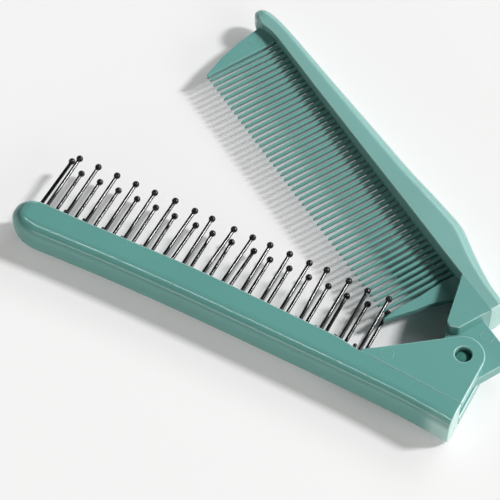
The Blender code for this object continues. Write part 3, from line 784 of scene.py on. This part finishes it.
# %% [markdown]
# ## Collars and turned shapes
# Each pin comes out of the bed through a low round collar. Collars and pins are turned shapes: one
# profile of radii and depths is carried round a line. As numpy repeats a profile as easily as it
# turns it, one call gives a whole row of collars.

# %% Collars round the pins
pin_count = 17
last_pin = brush.length - 6.8 * MM
pin_pitch = (last_pin - first_pin) / (pin_count - 1)
row_heights = (middle + 3.15 * MM, middle - 3.15 * MM)
short_height = middle - 2.0 * MM
long_along = first_pin + pin_pitch * np.arange(pin_count)
short_along = long_along[:-1] + pin_pitch / 2
ball_reach = 5.8 * MM


def turned_row(arm, profile, along, height, sides, lean=(0.0, 0.0)):
    """Copies of one profile of (radius, depth) turned about lines that run into the arm's depth.
    Lean moves a pin's ball along the arm and upwards, and its shank by the share of its length."""
    radius, depth = np.asarray(profile).T
    angle = np.linspace(0.0, 2 * math.pi, sides, endpoint=False)
    along, height = np.broadcast_arrays(np.atleast_1d(along), np.atleast_1d(height))
    x = along[:, None, None] + (radius[:, None] * np.cos(angle))[None]
    z = height[:, None, None] + (radius[:, None] * np.sin(angle))[None]
    share = np.maximum((bed_front - depth) / (bed_front + ball_reach), 0.0)[None, :, None]
    return arm.place(x + lean[0] * share, depth[None, :, None], z + lean[1] * share)


collar = [(0.95 * MM, bed_front + 0.1 * MM), (0.90 * MM, bed_front - 0.12 * MM),
          (0.78 * MM, bed_front - 0.22 * MM), (0.55 * MM, bed_front - 0.24 * MM)]
collar_rows = [(long_along, row_heights[0]), (long_along, row_heights[1]), (short_along, short_height)]
for along, height in collar_rows:
    inner_shells.append(repeated(turned_row(brush, collar, along, height, sides=20)))
piece("brush_bed_and_ears", inner_shells, teal_ears, "brush_arm", "teal_plastic", "brush_carrier")
print("pin pitch", round(pin_pitch / MM, 3), "mm")

# %% [markdown]
# ## Pins
# A long pin is a straight shank with a ball at its tip, so it is a profile turned about its own
# line. The ball is an arc from the tip to the neck, and a small hollow curve leads on into the
# shank, which is a touch thicker at the foot. A thin tenon and a flat head hold it in the bed. The
# short pins between them end in a plain rounded end.

# %% Profile of a ball pin
pin_radius = 0.43 * MM
ball_radius = 0.79 * MM
tenon_radius, head_radius = 0.30 * MM, 0.75 * MM
head_start, head_end = 12.5 * MM, 13.4 * MM
neck = math.pi - math.asin(1.12 * pin_radius / ball_radius)
ball_turn = np.linspace(0.03, neck, 16)
ball = np.stack([ball_radius * np.sin(ball_turn), -ball_reach - ball_radius * np.cos(ball_turn)], 1)
neck_depth = ball[-1, 1]
shank = [(pin_radius * 1.02, neck_depth + 0.12 * MM), (pin_radius * 0.97, neck_depth + 0.5 * MM),
         (pin_radius, 4.0 * MM), (pin_radius * 1.05, bed_front - 0.5 * MM),
         (pin_radius * 1.2, bed_front - 0.24 * MM), (pin_radius * 1.2, bed_front)]
foot = [(tenon_radius, bed_front), (tenon_radius, head_start), (head_radius, head_start),
        (head_radius, head_end), (0.02 * MM, head_end)]
ball_pin = np.concatenate([ball, shank, foot])
print("ball pin:", len(ball_pin), "points from tip to head")

# %% Profile of a short pin
short_tip = 5.2 * MM
short_end = [(0.03 * MM, short_tip), (pin_radius * 0.55, short_tip + 0.02 * MM),
             (pin_radius * 0.85, short_tip + 0.12 * MM), (pin_radius, short_tip + 0.32 * MM)]
short_pin = np.concatenate([short_end, shank[3:], foot])
print("short pin:", len(short_pin), "points from tip to head")

# %% [markdown]
# ## Leaning pins
# The pins are soft nylon, and some have been bent in use, as the photograph shows. A pin leans from
# its foot, so its ball is off its straight place by the two distances below, and the shank by its
# share of them. Only the pins that lean plainly are named, and the others stand straight.

# %% Pins that lean: the ball's distance along the arm and upwards, in millimetres
leaning_pins = {
    "pin_upper_02": (0.3, -0.6), "pin_upper_04": (0.6, 0.4), "pin_upper_08": (-0.5, -0.1),
    "pin_upper_09": (-0.7, -0.2), "pin_upper_11": (-0.5, 0.0), "pin_upper_12": (-0.4, 0.5),
    "pin_lower_03": (0.3, -0.6), "pin_lower_08": (-0.8, 0.5), "pin_lower_11": (-0.6, 0.2),
    "pin_nose": (-0.5, 0.4),
}


def lean_of(node):
    """How far a pin's ball stands off its straight place, along the arm and upwards."""
    along, upwards = leaning_pins.get(node, (0.0, 0.0))
    return along * MM, upwards * MM


print("leaning pins", len(leaning_pins))


# %% Every pin
def pin(node, profile, along, height, sides):
    """One pin: its profile turned about its own line, in place of its node."""
    grid = turned_row(brush, profile, along, height, sides, lean_of(node))[0]
    piece(node + "_round", [shell(grid)], black_nylon, "brush_arm", "black_pin_plastic", node)


for row, height in zip(("upper", "lower"), row_heights):
    for number, along in enumerate(long_along, 1):
        pin(f"pin_{row}_{number:02d}", ball_pin, along, height, sides=24)
for number, along in enumerate(short_along, 1):
    pin(f"pin_short_{number:02d}", short_pin, along, short_height, sides=20)
nose_pin_along = brush.length - 4.0 * MM
pin("pin_nose", ball_pin, nose_pin_along, middle, sides=24)
print("pins:", len(long_along) * 2 + len(short_along) + 1)

# %% [markdown]
# ## Hinge pin
# A short teal pin with shallow domed ends lies a little below the ears' faces, in a round hole. It
# could be a cylinder with bevelled ends, but a dome has no flat top. So its profile goes from the
# middle of one dome down the side to the middle of the other, and is turned round the hinge axis.


# %% Domed pin
def domed_pin(radius, dome, recess):
    """Grid of (profile, angle): the radius grows as sin(t), while the dome sinks as cos(t)^1.2."""
    t = np.linspace(0.0, math.pi / 2, 14)
    reach = np.maximum(radius * np.sin(t), hair)
    rise = dome * np.cos(t) ** 1.2
    profile_radius = np.concatenate([reach, reach[::-1]])[:, None]
    profile_height = np.concatenate([thickness - recess - dome + rise, recess + dome - rise[::-1]])
    angle = np.linspace(0.0, 2 * math.pi, 64, endpoint=False)
    x = hinge_x + profile_radius * np.cos(angle)
    y = hinge_y + profile_radius * np.sin(angle)
    return np.stack(np.broadcast_arrays(x, y, profile_height[:, None]), -1)


hinge_play = 0.12 * MM
hinge_radius = hole_radius - hinge_play
pin_shell = shell(domed_pin(hinge_radius, dome=0.6 * MM, recess=1.2 * MM))
# The pin's darker teal is painted shade of its hole.
piece("hinge_pin_domed", [pin_shell], teal_pin, "brush_arm", "teal_plastic", "hinge_pin")
print("hinge pin", round(2 * hinge_radius / MM, 2), "mm across")

# %% [markdown]
# ## The comb
# The comb's inner piece is one moulding: a spine that fills the back's open front, forty-eight fine
# teeth, a broad guard at each end, a gusset under the arm's end and the tongue that turns between
# the ears. A tooth tapers in width and a little in thickness and ends in a blunt point. All teeth
# are one grid with a further direction, the number of the tooth.

# %% Teeth
tooth_count = 48
first_tooth = 20.70 * MM
last_tooth = comb.length - 11.48 * MM
tooth_reach = 7.6 * MM
plate_thickness = 1.6 * MM
tooth_pitch = (last_tooth - first_tooth) / (tooth_count - 1)


def tooth_row():
    """Grid of (tooth, station, angle). Each section is a rounded box, the superellipse
    |x / width|^3 + |z / height|^3 = 1, whose width and height shrink evenly to the tip, and over
    the last, blunt stretch by a quarter of a circle as well."""
    root, tip = 12.0 * MM, -tooth_reach
    root_half, tip_half = 0.475 * MM, 0.24 * MM
    thinning, blunt, blunt_height = 0.28, 0.9 * MM, 0.45
    sides = 16
    close = np.sin(np.linspace(0.0, math.pi / 2, 7))[1:]
    depth = np.concatenate([np.linspace(root, tip + blunt, 8), tip + blunt * (1 - close)])
    share = (root - depth) / (root - tip)
    point = np.sqrt(np.clip(1 - (1 - np.clip((depth - tip) / blunt, 0, 1)) ** 2, 0.0004, 1))
    width = (root_half + (tip_half - root_half) * share) * point
    height = plate_thickness / 2 * (1 - thinning * share) * (blunt_height + (1 - blunt_height) * point)
    angle = np.linspace(0.0, 2 * math.pi, sides, endpoint=False) + math.pi / sides
    bend = np.abs(np.cos(angle)) ** 3 + np.abs(np.sin(angle)) ** 3
    around = np.stack([np.cos(angle), np.sin(angle)]) / bend ** (1 / 3)
    along = first_tooth + tooth_pitch * np.arange(tooth_count)
    x = along[:, None, None] + width[None, :, None] * around[0]
    z = middle + height[None, :, None] * around[1]
    return comb.place(x, depth[None, :, None], z)


comb_shells = [repeated(tooth_row())]
print("teeth:", tooth_count, "at a pitch of", round(tooth_pitch / MM, 3), "mm")

# %% [markdown]
# ## Guards
# A broad guard at each end of the row shields the outer teeth. Both are as thick as the teeth are at
# their roots, so each is a plate with a plain curved outline. A corner below is a share of the
# guard's width, away from the row, and of the teeth's reach, from the hinge's line to their tips.

# %% Guards
far_width, near_width = 6.9 * MM, 6.6 * MM
far_shares = np.array([(0.155, 0.98), (0.21, 1.01), (0.575, 0.26), (0.833, -0.54), (1.006, -1.36),
                       (1.006, -1.6), (0.20, -1.6), (0.18, -1.3)])
near_shares = np.array([(1.03, -1.20), (0.91, -0.96), (0.66, -0.29), (0.59, 0.18), (0.47, 0.66),
                        (0.35, 1.14), (0.29, 1.10), (0.20, 0.46), (0.22, -0.22), (0.17, -0.68),
                        (0.15, -1.6), (1.03, -1.6)])
half_plate = plate_thickness / 2
for shares, root, width in ((far_shares, last_tooth, far_width), (near_shares, first_tooth, -near_width)):
    corners = np.stack([root + shares[:, 0] * width, -shares[:, 1] * tooth_reach], 1)
    outline = rounded(corners, 1.2 * MM, steps=6)
    # The guards' rounded edges carry a faint painted highlight.
    comb_shells.append(plate(
        comb, outline, middle - half_plate, middle + half_plate, edge=0.18 * MM, painted_highlight=0.15))
comb_shells.append(ejector_mark(
    comb, along=99.5 * MM, depth=7.4 * MM, radius=1.2 * MM, height=middle + half_plate, painted_highlight=0.0))
print("guards:", round(far_width / MM, 1), "and", round(near_width / MM, 1), "mm wide")

# %% [markdown]
# ## Gusset and tongue
# The gusset is the full-height foot of the inner piece. It slopes from the near guard to the round
# ears and leaves them room to turn. The tongue is a thinner plate in the middle of the height, with
# a round end about the hinge and the pin's hole in it. Both are plates as the ears are.

# %% Gusset and tongue
seam_hair = 0.01 * MM
tongue_radius = 5.4 * MM
tongue_bottom, tongue_top = 3.4 * MM, 6.8 * MM
gusset_length = 17.1 * MM
gusset_foot = (gusset_length, comb.rim(gusset_length) - seam_hair)
gusset_corner = tangent_corner(gusset_foot, tongue_radius + clearance, 0.0, comb_start)
slope = (gusset_corner[1] - gusset_foot[1]) / (gusset_corner[0] - gusset_foot[0])
shoulder_along = 8.8 * MM
shoulder = (shoulder_along, gusset_foot[1] + slope * (shoulder_along - gusset_length))
gusset = [gusset_foot, shoulder, (7.4 * MM, 1.4 * MM), (comb_start, 2.9 * MM),
          (comb_start, comb.rim(comb_start) - seam_hair)]
gusset_radii = np.array([0.15, 0.9, 0.9, 0.8, 0.15]) * MM
gusset_outline = rounded(gusset, gusset_radii, steps=8)
tongue_depth = 10.0 * MM
tongue_foot = (15.4 * MM, tongue_depth)
tongue_corner = tangent_corner(tongue_foot, tongue_radius, 0.0, -tongue_radius)
tongue = [tongue_foot, tongue_corner, (-tongue_radius, tongue_depth)]
tongue_radii = np.array([0.4, 5.4, 3.2]) * MM
tongue_outline = rounded(tongue, tongue_radii, steps=24)


def gusset_crisp(outline):
    """The gusset's side on the seam stays nearly sharp, so that the seam is a hair line."""
    return np.clip((11.2 * MM - outline[:, 1]) / (1.5 * MM), 0.1, 1.0)


comb_shells += [
    plate(comb, gusset_outline, 0.0, thickness, edge=0.2 * MM, crisp=gusset_crisp),
    plate(comb, tongue_outline, tongue_bottom, tongue_top, edge=0.2 * MM, hole=hole_radius),
    ejector_mark(comb, along=2.3 * MM, depth=8.2 * MM, radius=1.5 * MM, height=tongue_top, painted_highlight=0.2),
]
print("tongue", round((tongue_top - tongue_bottom) / MM, 2), "mm thick")

# %% [markdown]
# ## Spine
# The spine closes the back's open front just behind the rim, and the teeth grow out of it. The rim is
# curved and the arm grows thinner, so the spine is a small four-cornered section carried along the
# same two curves, a hair clear of the walls.

# %% Spine that follows the rim
spine_start, spine_end = 8.0 * MM, comb.length - pocket_margin - clearance
spine_depth = 0.8 * MM
spine_along = np.linspace(spine_start, spine_end, 60)
spine_front = comb.rim(spine_along) + 0.15 * MM
spine_back = spine_front + spine_depth
low = middle - comb.half(spine_along) + wall + hair
high = middle + comb.half(spine_along) - wall - hair
spine_corners = np.stack([np.stack([spine_front, spine_back, spine_back, spine_front], 1),
                          np.stack([high, high, low, low], 1)], -1)
spine_sections = rounded(spine_corners, 0.1 * MM)
spine_spots = comb.place(spine_along[:, None], spine_sections[..., 0], spine_sections[..., 1])
comb_shells.append(shell(spine_spots))
piece("comb_teeth_and_tongue", comb_shells, teal_comb, "comb_arm", "teal_plastic", "comb_teeth")
print("comb's inner piece:", len(comb_shells), "shells")

# %% [markdown]
# The imported model gives the real size, and the finished surfaces have to keep to it. The imported
# model's box is printed.

print("CAD box", [[round(v, 4) for v in c] for c in cad_box])
